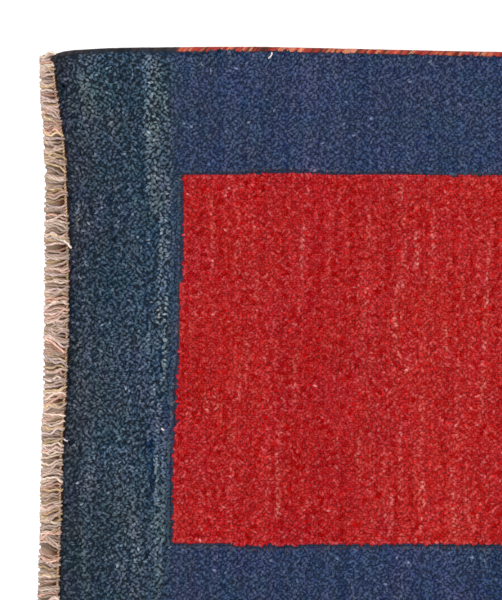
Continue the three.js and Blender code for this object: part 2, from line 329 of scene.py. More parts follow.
# The yarns of the woven strip: how far out, thickness, turn of the plies and the tones of the two: the
# ply tops, and the painted shade in the grooves between them. The first, dark yarn is partly dark wool
# and partly painted shadow under the pile's edge
STRIP_YARNS = [
    (1.4, 2.3, 3.0, (56, 34, 28), (32, 22, 20)),
    (3.8, 2.7, 3.0, (202, 170, 138), (92, 54, 34)),
]
STRIP_STEP = 0.8
YARN_TONES = [
    (216, 192, 180), (206, 182, 170), (228, 210, 196), (190, 168, 156), (212, 186, 150),
    (210, 170, 154), (222, 200, 198),
]
# The reddish-brown tint that grows with the yarns' painted shade, strongest at the roots
ROOT_TINT = (1.0, 0.8, 0.64)

# The loose warp end: the share of its length and its places there
LOOSE_SHARE = (0, 0.2, 0.45, 0.65, 0.8, 1)
LOOSE_X = (-461.5, -457, -451.8, -447.3, -444.2, -440.8)
LOOSE_Y = (123.5, 120.9, 118.9, 117.8, 115.2, 111)
LOOSE_Z = (4.2, 6, 9, 12.4, 13.8, 13.6)
LOOSE_THICKNESS = 2.6
# Its two tones: the ply tops, and the painted shade in the grooves between them
LOOSE_TONES = ((226, 210, 202), (184, 160, 148))
# How it is painted, darker at its low root and lighter at its raised tip
LOOSE_SHADES = (0.7, 1.25)
LOOSE_RINGS = 16

# Light hairs caught in the pile: x, y, direction in degrees and length
HAIR_THICKNESS = 1.7
HAIR_RINGS = 12
HAIR_BEND = 0.6
HAIR_LIFT = 0.35
HAIR_ARCH = 0.5
# The two tones of these hairs and the bright ones: the ply tops, and the painted shade in the grooves
# between them
HAIR_TONES = ((114, 124, 136), (84, 96, 110))
BRIGHT_HAIRS = [(-241, 303, 58, 7), (-349.5, -70.5, -40, 3), (-446.4, -81.4, -30, 4)]
BRIGHT_HAIR_TONES = ((236, 226, 224), (196, 186, 190))
LIGHT_HAIRS = [
    (-433.6, 149.4, 60, 3.5), (-434.5, 146, 20, 3), (-415.7, 146, 40, 3.5), (-428.5, 127.7, 0, 4),
    (-426.3, 94.6, -50, 6), (-432.3, 81.2, -50, 4.5), (-390, 110, 70, 3.5), (-379, 93, -30, 3.5),
    (-82, 297, 20, 3.5), (-310, 294, -50, 4), (-167, 277, 80, 2.5), (-102, 277, 10, 2.5),
    (132, 244, -20, 4), (251, -262, 65, 4), (318, 60, 15, 4), (398, 170, -70, 4),
    (-449.4, -118.6, -40, 2.5), (-390.8, -93.1, 10, 2.5), (-364.2, -77.8, 30, 2.5),
]

# The ground's material: its tones, how light its knots, streaks and bumps are, as factor and addend,
# the hollows between the bumps painted darker as shade, from what height on it shows between the tufts,
# and how much lighter it is painted there in the field, and darker at the ends, for the light and shade
# down there
BACK_INDIGO = (50, 61, 88)
BACK_GREY = (48, 60, 74)
BACK_RED = (160, 34, 36)
BACK_ENDS_FROM = 341
BACK_STREAKS = (110, 9, 1)
BACK_GRAIN = (0.35, 0.62)
BACK_STREAKINESS = (0.5, 0.75)
BUMP_SHADES = (0.75, 0.3)
BUMP_POWER = 0.6
PILE_SIDE_FROM = 5.5
PILE_SIDE_FIELD = (0.9, 0.1)
PILE_SIDE_ENDS = -0.5

# The floor, the light and the camera. Each softbox has a place, a size and a power.
FLOOR = 4000
FLOOR_BELOW = 0.3
WORLD_LIGHT = 0.34
SOFTBOXES = [("overhead", (0.1, -0.1, 3.6), 0.9, 112), ("key", (-1.5, 1.7, 2.6), 1.0, 40)]
CAMERA_HEIGHT = 3.0
SENSOR_WIDTH = 36
VIEW_CENTRE = (-261, 59)
VIEW_TALL = 600

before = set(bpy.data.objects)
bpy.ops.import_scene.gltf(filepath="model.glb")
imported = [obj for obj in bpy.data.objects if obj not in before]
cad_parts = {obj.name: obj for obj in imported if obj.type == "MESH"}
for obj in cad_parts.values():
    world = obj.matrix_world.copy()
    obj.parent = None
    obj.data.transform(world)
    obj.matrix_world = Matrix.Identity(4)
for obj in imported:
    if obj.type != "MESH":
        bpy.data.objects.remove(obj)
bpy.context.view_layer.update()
rng = np.random.default_rng(683)


def linear(tone):
    """The light that an sRGB tone from 0 to 255 stands for."""
    share = np.asarray(tone, float) / 255
    return np.where(share <= 0.04045, share / 12.92, ((share + 0.055) / 1.055) ** 2.4)


def tones_at(table, x):
    """The tones of a table, blended between its rows."""
    places = [row[0] for row in table]
    tones = np.array([row[1] for row in table], float)
    return np.stack([np.interp(x, places, tones[:, i]) for i in range(3)], axis=-1)


def noise(x, y, size_x, size_y, seed):
    """Smooth noise from -1 to 1, in lumps of the given size."""
    lattice = np.random.default_rng(seed).uniform(-1, 1, (NOISE_CELLS, NOISE_CELLS))
    u = np.asarray(x, float) / size_x
    v = np.asarray(y, float) / size_y
    i = np.floor(u).astype(int)
    j = np.floor(v).astype(int)
    a = (u - i) ** 2 * (3 - 2 * (u - i))
    b = (v - j) ** 2 * (3 - 2 * (v - j))
    here_i, next_i = i % NOISE_CELLS, (i + 1) % NOISE_CELLS
    here_j, next_j = j % NOISE_CELLS, (j + 1) % NOISE_CELLS
    low = lattice[here_i, here_j] * (1 - a) + lattice[next_i, here_j] * a
    high = lattice[here_i, next_j] * (1 - a) + lattice[next_i, next_j] * a
    return low * (1 - b) + high * b


def ripple(at, size, seed):
    """Smooth noise from -1 to 1 along a line."""
    return noise(at, at * 0, size, 1, seed)


def mesh_points(node):
    """A CAD node's vertices, in millimetres."""
    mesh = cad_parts[node].data
    found = np.empty(len(mesh.vertices) * 3)
    mesh.vertices.foreach_get("co", found)
    return found.reshape(-1, 3) / MM


def line_through(points, along, value):
    """A function that reads a line of points, at any place along it."""
    order = np.argsort(points[:, along])
    places, values = points[order, along], points[order, value]
    return lambda at: np.interp(at, places, values)


# The four lines where the CAD's pile is widest, as functions
pile_points = mesh_points("pile_field")
rim_points = pile_points[np.abs(pile_points[:, 2] - RIM_HEIGHT) < SAME_HEIGHT]
reach_x = np.abs(rim_points[:, 0]).max()
reach_y = np.abs(rim_points[:, 1]).max()
near_edge = line_through(rim_points[rim_points[:, 0] < END_ZONE - reach_x], 1, 0)
far_edge = line_through(rim_points[rim_points[:, 0] > reach_x - END_ZONE], 1, 0)
front_edge = line_through(rim_points[rim_points[:, 1] < SIDE_ZONE - reach_y], 0, 1)
back_edge = line_through(rim_points[rim_points[:, 1] > reach_y - SIDE_ZONE], 0, 1)


def course(table, at):
    """A table's value at these places."""
    return np.interp(at, *zip(*table, strict=True))


def place(along, across):
    """Where a point lies that is so far along and across the rug, given its uneven edges and how its
    rows and columns of knots wander."""
    row, column = along - LENGTH / 2, across - WIDTH / 2
    from_near = np.clip(1 - along / END_BEND, 0, 1)
    from_far = np.clip(1 - (LENGTH - along) / END_BEND, 0, 1)
    inwards = 1 - np.abs(np.abs(column) - FIELD_HALF_WIDTH) / (WIDTH / 2 - FIELD_HALF_WIDTH)
    wander = np.where(column > 0, course(BACK_COURSE, row), course(FRONT_COURSE, row))
    aside = wander * np.clip(inwards, 0, 1)
    y = column
    for _ in range(PLACING_ROUNDS):
        askew = course(ROW_COURSE, y) * course(ASKEW_SHARE, row)
        bent_near = (near_edge(y) + LENGTH / 2) * from_near
        bent_far = (far_edge(y) - LENGTH / 2) * from_far
        x = row + askew + bent_near + bent_far
        front, back = front_edge(x), back_edge(x)
        y = front + (back - front) * across / WIDTH + aside
    return x, y


def make_mesh(name, points, faces, colours=None, material=None):
    """A smooth mesh from points in millimetres and arrays of faces, one array for each face size."""
    mesh = bpy.data.meshes.new(name)
    mesh.vertices.add(len(points))
    mesh.vertices.foreach_set("co", (np.asarray(points, np.float32) * np.float32(MM)).ravel())
    corners = np.concatenate([f.ravel() for f in faces]).astype(np.int32)
    counts = np.concatenate([np.full(len(f), f.shape[1]) for f in faces])
    starts = np.concatenate([[0], np.cumsum(counts)[:-1]]).astype(np.int32)
    mesh.loops.add(len(corners))
    mesh.loops.foreach_set("vertex_index", corners)
    mesh.polygons.add(len(counts))
    mesh.polygons.foreach_set("loop_start", starts)
    mesh.polygons.foreach_set("use_smooth", np.ones(len(counts), bool))
    mesh.update(calc_edges=True)
    if colours is not None:
        layer = mesh.color_attributes.new("wool", "FLOAT_COLOR", "POINT")
        rgba = np.ones((len(points), 4), np.float32)
        rgba[:, :3] = np.clip(colours, 0, 1)
        layer.data.foreach_set("color", rgba.ravel())
    piece = bpy.data.objects.new(name, mesh)
    bpy.context.scene.collection.objects.link(piece)
    if material:
        mesh.materials.append(material)
    return piece


def join_shapes(name, parts, material):
    """One mesh from several shapes, each given as its points, faces and tones."""
    points, colours, quads, triangles, first = [], [], [], [], 0
    for own_points, own_faces, own_colours in parts:
        points.append(own_points)
        colours.append(own_colours)
        quads.append(own_faces[0] + first)
        triangles.append(own_faces[1] + first)
        first += len(own_points)
    faces = [np.concatenate(quads), np.concatenate(triangles)]
    return make_mesh(name, np.concatenate(points), faces, np.concatenate(colours), material)


def xyz(x, y, z):
    """Points or directions from their three measures, each of which may be one value for all."""
    return np.stack(np.broadcast_arrays(x, y, z), axis=-1)


def unit(vectors):
    """Vectors of the same direction and length 1."""
    return vectors / np.maximum(np.linalg.norm(vectors, axis=-1, keepdims=True), 1e-9)


def tubes(centres, sides, radii, turn, crown=0.75, closed=False):
    """Yarns as rings of points round centre lines. centres is (yarns, rings, 3), radii is (yarns,
    rings, sides), turn is the angle of each yarn's first side and crown the height of its tip, as a
    share of its radius. A closed one has a face at its root too. Returns points and faces."""
    yarns, rings, _ = centres.shape
    ahead = unit(np.gradient(centres, axis=1))
    flat = np.abs(ahead[..., 2:]) < STEEP
    guide = np.where(flat, [0.0, 0.0, 1.0], [1.0, 0.0, 0.0])
    side = unit(np.cross(guide, ahead))
    up = np.cross(ahead, side)
    angles = turn[:, None, None] + np.arange(sides) * FULL_TURN / sides
    sideways = np.cos(angles)[..., None] * side[:, :, None]
    upwards = np.sin(angles)[..., None] * up[:, :, None]
    ring_points = centres[:, :, None] + (sideways + upwards) * radii[..., None]
    per_yarn = rings * sides + 1
    points = np.empty((yarns, per_yarn, 3))
    points[:, : rings * sides] = ring_points.reshape(yarns, -1, 3)
    start = np.arange(yarns)[:, None, None] * per_yarn
    ring = np.arange(rings - 1)[:, None] * sides
    here = np.arange(sides)
    after = (here + 1) % sides
    quad = np.stack([ring + here, ring + after, ring + sides + after, ring + sides + here], axis=-1)
    quads = (start[..., None] + quad[None]).reshape(-1, 4)
    last = unit(centres[:, -1] - centres[:, -2])
    points[:, -1] = centres[:, -1] + last * radii[:, -1].mean(axis=1, keepdims=True) * crown
    top = (rings - 1) * sides
    cap = np.stack([top + here, top + after, np.full(sides, rings * sides)], axis=-1)
    if closed:
        cap = np.concatenate([cap, np.stack([here[2:] * 0, here[2:], here[1:-1]], axis=-1)])
    caps = (start[:, 0, None] + cap[None]).reshape(-1, 3)
    return points.reshape(-1, 3), [quads, caps]


def set_inputs(node, values):
    """Gives a node's inputs their values, by name."""
    for name, value in values.items():
        node.inputs[name].default_value = value


def matt_material(name, values):
    """A material with these values of its shader. Returns its nodes, links and shader too."""
    material = bpy.data.materials.new(name)
    material.use_nodes = True
    shader = material.node_tree.nodes["Principled BSDF"]
    set_inputs(shader, values)
    return material, material.node_tree.nodes, material.node_tree.links, shader


def shade_and_relief(nodes, links, shader, tone, level, height, relief_values):
    """Makes the shader's tone lighter or darker by a level, and its surface rise with a height."""
    shade = nodes.new("ShaderNodeVectorMath")
    shade.operation = "SCALE"
    links.new(tone, shade.inputs[0])
    links.new(level, shade.inputs["Scale"])
    links.new(shade.outputs["Vector"], shader.inputs["Base Color"])
    relief = nodes.new("ShaderNodeBump")
    set_inputs(relief, relief_values)
    links.new(height, relief.inputs["Height"])
    links.new(relief.outputs["Normal"], shader.inputs["Normal"])


def wool_material(name, sheen, roughness, fibre):
    """Matt wool: its tone is in the mesh, broken up by fine fibres."""
    material, nodes, links, shader = matt_material(name, {
        "Roughness": roughness,
        "Specular IOR Level": 0.02,
        "Sheen Weight": sheen,
        "Sheen Roughness": 0.55,
    })
    tone = nodes.new("ShaderNodeAttribute")
    tone.attribute_name = "wool"
    where = nodes.new("ShaderNodeTexCoord")
    fine = nodes.new("ShaderNodeTexNoise")
    set_inputs(fine, {"Scale": fibre, "Detail": 3})
    links.new(where.outputs["Object"], fine.inputs["Vector"])
    level = nodes.new("ShaderNodeMapRange")
    set_inputs(level, {"From Min": 0.3, "From Max": 0.7, "To Min": 0.72, "To Max": 1.28})
    links.new(fine.outputs["Fac"], level.inputs["Value"])
    sockets = tone.outputs["Color"], level.outputs["Result"], fine.outputs["Fac"]
    shade_and_relief(nodes, links, shader, *sockets, {"Strength": 0.5, "Distance": 0.3 * MM})
    return material


def past_field(row, column):
    """How far past the field's ends and sides these rows and columns lie, or less than 0 inside."""
    return np.abs(row) - FIELD_HALF_LENGTH, np.abs(column) - FIELD_HALF_WIDTH


def in_field(row, column):
    """Whether the knots in these rows and columns are of the field."""
    return np.maximum(*past_field(row, column)) < 0


def nearness(apart):
    """How near the line where the wools meet is, from 0 to 1."""
    return np.exp(-((apart / MEETING_RUN) ** 2))


def wool_kinds(row, column):
    """Which of the three wools the knots in these rows and columns are of."""
    border = np.where(np.abs(row) > GREY_WOOL_FROM, GREY_WOOL, INDIGO_WOOL)
    return np.where(in_field(row, column), RED_WOOL, border)


def knot_tones(row, column):
    """The tones of the wool of the knots in these rows and columns."""
    field = in_field(row, column)
    lagging = row + np.sign(row) * BESIDE_FIELD_LAG * (np.abs(column) < FIELD_HALF_WIDTH)
    tones = np.where(field[:, None], tones_at(FIELD_TONES, row), tones_at(BORDER_TONES, lagging))
    mottled = np.where(field, FIELD_MOTTLING, 1)
    tones = tones + MOTTLING * (mottled * noise(row, column, 28, 28, 23))[:, None]
    for n, channel in enumerate((0, 2)):
        wide, narrow = noise(row, column, 34, 34, 34 + n), noise(row, column, 8, 16, 36 + n)
        tones[:, channel] += mottled * (WIDE_TINTS * wide + NARROW_TINTS * narrow)
    # Painted shade where the pile parts between the wools
    meeting = nearness(np.maximum(*past_field(row, column)))[:, None]
    return tones + meeting * MEETING_TINTS[field.astype(int)]


def parting(row, column):
    """How far the tufts in these rows and columns lean away from the line where the wools meet."""
    past_end, past_side = past_field(row, column)
    apart = np.maximum(past_end, past_side)
    lean = PARTING * np.where(apart > 0, 1, -1) * nearness(apart)
    by_end = past_end > past_side
    return np.where(by_end, lean * np.sign(row), 0), np.where(by_end, 0, lean * np.sign(column))


def streaks(row, column, x, y):
    """How much paler or darker the wool at these places is than that round it, in each channel."""
    field = in_field(row, column)
    kind = wool_kinds(row, column)
    faint = np.zeros(len(row))
    for n, (strength, wide, long) in enumerate(STREAKS):
        faint += strength * noise(row, column, wide, long, 21 + n)
    pale = np.zeros(len(row))
    for n, (inside, strength, line, *own_half) in enumerate(PALE_ROWS):
        half = own_half[0] if own_half else PALE_HALF
        from_end = np.minimum(y - line[0][0], line[-1][0] - y)
        run = np.clip(from_end / PALE_END_RUN + PALE_END_SHARE, 0, 1)
        broken = PALE_MEAN + PALE_SWING * ripple(y, 14, n)
        near_row = np.exp(-((np.abs(x - course(line, y)) / half) ** 3))
        pale += PALENESS * strength * run * broken * near_row * (field == inside)
    faint = (faint * STREAKINESS[kind])[:, None] * STREAK_TINTS[kind]
    return faint + pale[:, None] * PALE_TINTS[field.astype(int)]


def deep(tone):
    """Painted light down between the tufts: the same wool as light, but stronger in colour, as bounced
    light makes it.
    """
    light = linear(tone)
    strongest = light.max(axis=-1, keepdims=True)
    return strongest * (light / strongest) ** DEEPER


def grid_of_knots():
    """The places of all the knots, along and across the rug."""
    along = (np.arange(KNOTS_LONG) + 0.5) * LENGTH / KNOTS_LONG
    across = (np.arange(KNOTS_WIDE) + 0.5) * WIDTH / KNOTS_WIDE
    return [found.ravel() for found in np.meshgrid(along, across, indexing="ij")]


def height_of_pile(inset):
    """How high the pile stands so far inside its edge."""
    inwards = np.clip(inset / RIM_RUN, 0, 1)
    return RIM_HEIGHT + (PILE_TOP - RIM_HEIGHT) * np.sqrt(1 - (1 - inwards) ** 2)


def edge_shade(inset):
    """Painted shade: the pile is darker near its edge, for the shade on its sides and under its
    overhang.
    """
    return 1 - (1 - EDGE_SHADE) * np.exp(-((inset / EDGE_SHADE_RUN) ** 2))[:, None]


def tuft_colours(tone, kind, shade):
    """The colours of a tuft's nine points: painted light and shade at its foot, painted shade at its
    shoulder and a painted highlight at its tip, all times the shade given.
    """
    foot = deep(tone) * FOOT_SHADES[kind][:, None] * shade
    shoulder = linear(tone) * SHOULDER_SHADE * shade
    tip = linear(tone) * TIP_SHADE * shade
    return np.stack([foot] * 4 + [shoulder] * 4 + [tip], axis=1).reshape(-1, 3)


def without_lumps(values):
    """A chance value for each knot, with most of the lumps that chance makes among them taken out."""
    grid = values.reshape(KNOTS_LONG, KNOTS_WIDE)
    around = sum(np.roll(grid, (i, j), (0, 1)) for i in (-1, 0, 1) for j in (-1, 0, 1)) / 9
    return (grid - LUMPS_OUT * around).ravel()


def make_pile():
    """Two yarn ends for each knot, cut off level, leaning a little and each of its own tone."""
    along, across = grid_of_knots()
    knot_x, knot_y = place(along, across)
    knots = len(along)
    knot_shade = without_lumps(rng.normal(0, 1, knots))
    lean_x = LEAN * noise(knot_x, knot_y, 17, 17, 31) + rng.normal(0, KNOT_LEAN_SPREAD, knots)
    lean_y = LEAN * noise(knot_x, knot_y, 17, 17, 32) + rng.normal(0, KNOT_LEAN_SPREAD, knots)
    slant = np.where(rng.random(knots) < 0.5, 1, -1)
    ends = []
    for side in (-1, 1):
        away = KNOT_PITCH / 4 * side
        a = along + away * slant + rng.normal(0, END_STRAY, knots)
        b = across + away + rng.normal(0, END_STRAY, knots)
        a = np.clip(a, LEAST_INSET, LENGTH - LEAST_INSET)
        b = np.clip(b, LEAST_INSET, WIDTH - LEAST_INSET)
        inset = np.minimum(np.minimum(a, LENGTH - a), np.minimum(b, WIDTH - b))
        x, y = place(a, b)
        lean = lean_x + rng.normal(0, END_LEAN_SPREAD, knots)
        # The wools meet in a clean line, so the place of the cut end decides which it is
        row, column = a + lean - LENGTH / 2, b + lean_y - WIDTH / 2
        kind = wool_kinds(row, column)
        end_shade = without_lumps(rng.normal(0, 1, knots))
        spread = knot_shade * KNOT_CONTRASTS[kind] + end_shade * END_CONTRASTS[kind]
        bright = np.minimum(rng.exponential(BRIGHTER_BY, knots), BRIGHTEST)
        bright = bright * (rng.random(knots) < BRIGHT_ENDS[kind])
        short = rng.random(knots) < SHORT_ENDS[kind]
        # Short ends are painted darker, for the shade they sit in
        varied = (spread + bright - SHORT_DARKER * short)[:, None] * CONTRAST_TINTS[kind]
        part_x, part_y = parting(row, column)
        pale = streaks(row, column, x + part_x + lean, y + part_y + lean_y)
        tone = np.clip(knot_tones(row, column) + pale + varied, *TONE_LIMITS)
        ends.append((x + part_x, y + part_y, inset, lean, lean_y, tone, SHORT_BY * short, kind))
    x, y, inset, dx, dy, tone, cut, kind = (np.concatenate(found) for found in zip(*ends, strict=True))
    count = len(x)
    uneven = rng.normal(0, TOP_SPREAD, count)
    top = height_of_pile(inset) + uneven + TOP_SWELL * noise(x, y, 60, 60, 41) - cut
    top = np.minimum(top, PILE_TOP + MOST_ABOVE_TOP)
    centres = np.empty((count, 2, 3))
    centres[:, 1] = xyz(x + dx, y + dy, top - TUFT_CROWN)
    centres[:, 0] = xyz(x - FOOT_LEAN * dx, y - FOOT_LEAN * dy, top - TUFT_DEPTH)
    width = TUFT_WIDTH / 2 * rng.uniform(*TUFT_WIDTHS, count) * FULLNESS[kind]
    oval = rng.uniform(*TUFT_OVALS, count)
    radii = np.empty((count, 2, 4))
    radii[:, 1] = np.stack([width / oval, width * oval] * 2, axis=1) * SHOULDER_WIDTH
    radii[:, 0] = radii[:, 1] * FOOT_WIDTH
    turn = FULL_TURN * noise(x, y, 14, 14, 51) + rng.uniform(-TURN_SPREAD, TURN_SPREAD, count)
    points, faces = tubes(centres, 4, radii, turn)
    # Painted shade and highlight on each tuft, and painted shade near the pile's edge
    colours = tuft_colours(tone, kind, edge_shade(inset))
    pieces = []
    for n, chosen in enumerate(np.array_split(np.argsort(x), PIECES_OF_PILE)):
        own = [found.reshape(count, -1, 3)[chosen].reshape(-1, 3) for found in (points, colours)]
        own_faces = [found[: len(chosen) * 4] for found in faces]
        pieces.append(make_mesh(f"pile_{n + 1}", own[0], own_faces, own[1], wool))
    return pieces


def around_the_rug(spacing, inset):
    """Places along and across the rug, all round it at an even spacing and an inset from its edge."""
    long_side = LENGTH - 2 * inset
    short_side = WIDTH - 2 * inset
    walk = (np.arange(int(2 * (LENGTH + WIDTH) / spacing)) + 0.5) * spacing
    share = walk / (2 * (LENGTH + WIDTH)) * 2 * (long_side + short_side)
    corners = np.cumsum([0, long_side, short_side, long_side, short_side])
    along = np.interp(share, corners, [inset, LENGTH - inset, LENGTH - inset, inset, inset])
    across = np.interp(share, corners, [inset, inset, WIDTH - inset, WIDTH - inset, inset])
    return along, across


def make_rim():
    """The outermost tufts, which lean out over the fringe and the selvedges."""
    layers = []
    for height, inset, depth in RIM_LAYERS:
        root = around_the_rug(RIM_SPACING, inset + RIM_TUFT_RUN)
        tip = around_the_rug(RIM_SPACING, inset)
        count = len(tip[0])
        root_x, root_y = place(*root)
        tip_x, tip_y = place(*tip)
        slide = rng.normal(0, RIM_SLIDE, (2, count))
        low = xyz(root_x, root_y, height - depth)
        high = xyz(tip_x + slide[0], tip_y + slide[1], height + rng.normal(0, RIM_UNEVEN_UP, count))
        # The slide goes along the edge and only a little out of it
        out = unit(high[:, :2] - low[:, :2])
        drift = (slide.T * out).sum(axis=1)
        high[:, :2] -= out * (drift + np.abs(rng.normal(0, RIM_UNEVEN_OUT, count)))[:, None]
        upper = height > RIM_UPPER_FROM
        on_side = np.abs(root[1] - WIDTH / 2) > WIDTH / 2 - inset - RIM_BAND
        at_end = np.abs(root[0] - LENGTH / 2) > LENGTH / 2 - inset - RIM_BAND
        for start, end, far in OVERHANGS:
            over = on_side & (root_x > start) & (root_x < end) & upper
            high[:, :2] += out * (over * far * rng.uniform(0.3, 1, count))[:, None]
        high[:, :2] += out * (SIDE_OVERHANG * on_side * upper)[:, None]
        corner = np.clip((np.abs(root_y) - CORNER_FROM) / (WIDTH / 2 - CORNER_FROM), 0, 1) * at_end
        high[:, :2] += out * (CORNER_OVERHANG * corner * rng.uniform(0.6, 1, count))[:, None]
        high[:, :2] += out * (END_OVERHANG * at_end * upper)[:, None]
        row, column = root[0] - LENGTH / 2, root[1] - WIDTH / 2
        tone = knot_tones(row, column) + streaks(row, column, tip_x, tip_y)
        tone = np.clip(tone + rng.normal(0, RIM_CONTRAST, (count, 1)), *TONE_LIMITS)
        shoulder = low * (1 - RIM_SHOULDER) + high * RIM_SHOULDER
        layers.append((np.stack([low, shoulder], axis=1), tone, wool_kinds(row, column)))
    centres, tone, kind = (np.concatenate(found) for found in zip(*layers, strict=True))
    count = len(centres)
    radii = np.full((count, 2, 4), RIM_TUFT_WIDTH / 2) * rng.uniform(*RIM_WIDTHS, (count, 1, 4))
    points, faces = tubes(centres, 4, radii, rng.uniform(0, FULL_TURN, count), crown=0.25)
    # The rim's tufts all take the painted shade of the pile's edge
    return make_mesh("pile_rim", points, faces, tuft_colours(tone, kind, EDGE_SHADE), wool)


def make_ground():
    """The knotted ground that the pile stands on, with its flat back."""
    u, v = np.meshgrid(*[np.linspace(0, 1, cells + 1) for cells in GROUND_CELLS], indexing="ij")

    def layer(share_x, share_y, inset, height):
        x, y = place(inset + share_x * (LENGTH - 2 * inset), inset + share_y * (WIDTH - 2 * inset))
        return xyz(x, y, height).reshape(-1, 3)

    index = np.arange(u.size).reshape(u.shape)
    low = np.stack([index[:-1, :-1], index[:-1, 1:], index[1:, 1:], index[1:, :-1]], axis=-1)
    low = low.reshape(-1, 4)
    high = low[:, ::-1] + u.size
    rim = np.concatenate([index[:-1, 0], index[-1, :-1], index[:0:-1, -1], index[0, :0:-1]])
    ring = 2 * u.size + np.arange(len(rim))
    walls = []
    for lower, upper in ((rim, ring), (ring, rim + u.size)):
        walls.append(np.stack([lower, np.roll(lower, -1), np.roll(upper, -1), upper], axis=-1))
    points = np.concatenate([
        layer(u, v, GROUND_INSET, 0),
        layer(u, v, GROUND_INSET + GROUND_TAPER, GROUND_TOP),
        layer(u.ravel()[rim], v.ravel()[rim], GROUND_INSET, GROUND_STRAIGHT),
    ])
    return make_mesh("ground_cloth", points, [np.concatenate([low, high, *walls])], None, back_wool)


def selvedge_axis(node):
    """The middle line of a selvedge, from the points along its top."""
    points = mesh_points(node)
    top = np.unique(points[points[:, 2] > points[:, 2].max() - SAME_HEIGHT].round(2), axis=0)
    # Each ring of the cord has two points at its top, one on either side of the middle line
    middle = (top[0::2] + top[1::2]) / 2
    return line_through(middle, 0, 1), points[:, 0].min(), points[:, 0].max()


def make_selvedge(node, name):
    """A cord of warps, overcast all along with wool of several tones that slants round it."""
    axis, start, end = selvedge_axis(node)
    start, end = start - CORNER_CORD, end + CORNER_CORD
    rings = int((end - start) / SELVEDGE_STEP)
    x = np.linspace(start, end, rings)
    past = np.clip(1 - np.minimum(x - start, end - x) / (2 * CORNER_CORD), 0, 1)
    y = axis(x)
    y = y - np.sign(y) * CORNER_CORD_IN * (1 - np.sqrt(1 - past**2 * 0.98))
    angles = np.arange(SELVEDGE_SIDES) * FULL_TURN / SELVEDGE_SIDES
    phase = (x - start)[:, None] / SELVEDGE_WRAP + SELVEDGE_STARTS * angles[None] / FULL_TURN
    phase = phase + WRAP_WANDER * ripple(x, 9, 61)[:, None] + 1
    within = phase - np.floor(phase)
    ridge = np.sqrt(1 - (2 * within - 1) ** 2 * 0.95)
    wrap_number = np.floor(phase).astype(int)
    radius = SELVEDGE_RADIUS - SELVEDGE_RELIEF * (1 - ridge)
    radius = radius + SELVEDGE_UNEVEN * ripple(x, 6, 62)[:, None]
    ahead = np.gradient(y, x)
    sideways = unit(xyz(-ahead, 1, 0))
    centre = xyz(x, y, SELVEDGE_RADIUS)
    around = np.cos(angles)[:, None] * sideways[:, None] + np.sin(angles)[:, None] * [0, 0, 1]
    points = centre[:, None] + radius[..., None] * around
    points[..., 2] = np.maximum(points[..., 2], OFF_THE_FLOOR)
    own = np.random.default_rng(66)
    wraps = wrap_number.max() + 1
    warm = linear(WRAP_TONES)[own.integers(0, len(WRAP_TONES), wraps)][wrap_number]
    cold = linear(WRAP_DARK_TONES)[own.integers(0, len(WRAP_DARK_TONES), wraps)][wrap_number]
    before_dark = SELVEDGE_DARK_FROM - np.abs(x) + DARK_CHANGE_RUN * ripple(x, 5, 63)
    change = np.clip(before_dark / DARK_CHANGE_RUN, 0, 1)[:, None, None]
    lot = np.exp(sum(contrast * ripple(x, size, seed) for contrast, size, seed in WRAP_CONTRASTS))
    colours = (cold * (1 - change) + warm * change) * lot[:, None, None]
    # Painted shade in the grooves between the wraps
    colours = colours * (GROOVE_SHADE + (1 - GROOVE_SHADE) * ridge)[..., None]
    index = np.arange(rings * SELVEDGE_SIDES).reshape(rings, SELVEDGE_SIDES)
    after = np.roll(index, -1, axis=1)
    quads = np.stack([index[:-1], after[:-1], after[1:], index[1:]], axis=-1).reshape(-1, 4)
    tip_run = np.array([SELVEDGE_TIP, 0, 0])
    tips = np.array([centre[0] - tip_run, centre[-1] + tip_run])
    first = np.full(SELVEDGE_SIDES, index.size)
    ends = [[after[0], index[0], first], [index[-1], after[-1], first + 1]]
    caps = np.concatenate([np.stack(end, axis=-1) for end in ends])
    all_points = np.concatenate([points.reshape(-1, 3), tips])
    all_colours = np.concatenate([colours.reshape(-1, 3), colours[0, :1], colours[-1, :1]])
    return make_mesh(name, all_points, [quads, caps], all_colours, cord_wool)


def outermost(node, outward):
    """The line of a fringe's tips: its furthest points, in bands across the rug."""
    points = mesh_points(node)
    band = np.floor(points[:, 1] / TIP_BAND).astype(int)
    found = []
    for number in np.unique(band):
        own = points[band == number]
        found.append(own[np.argmax(own[:, 0] * outward)])
    return line_through(np.array(found), 1, 0)


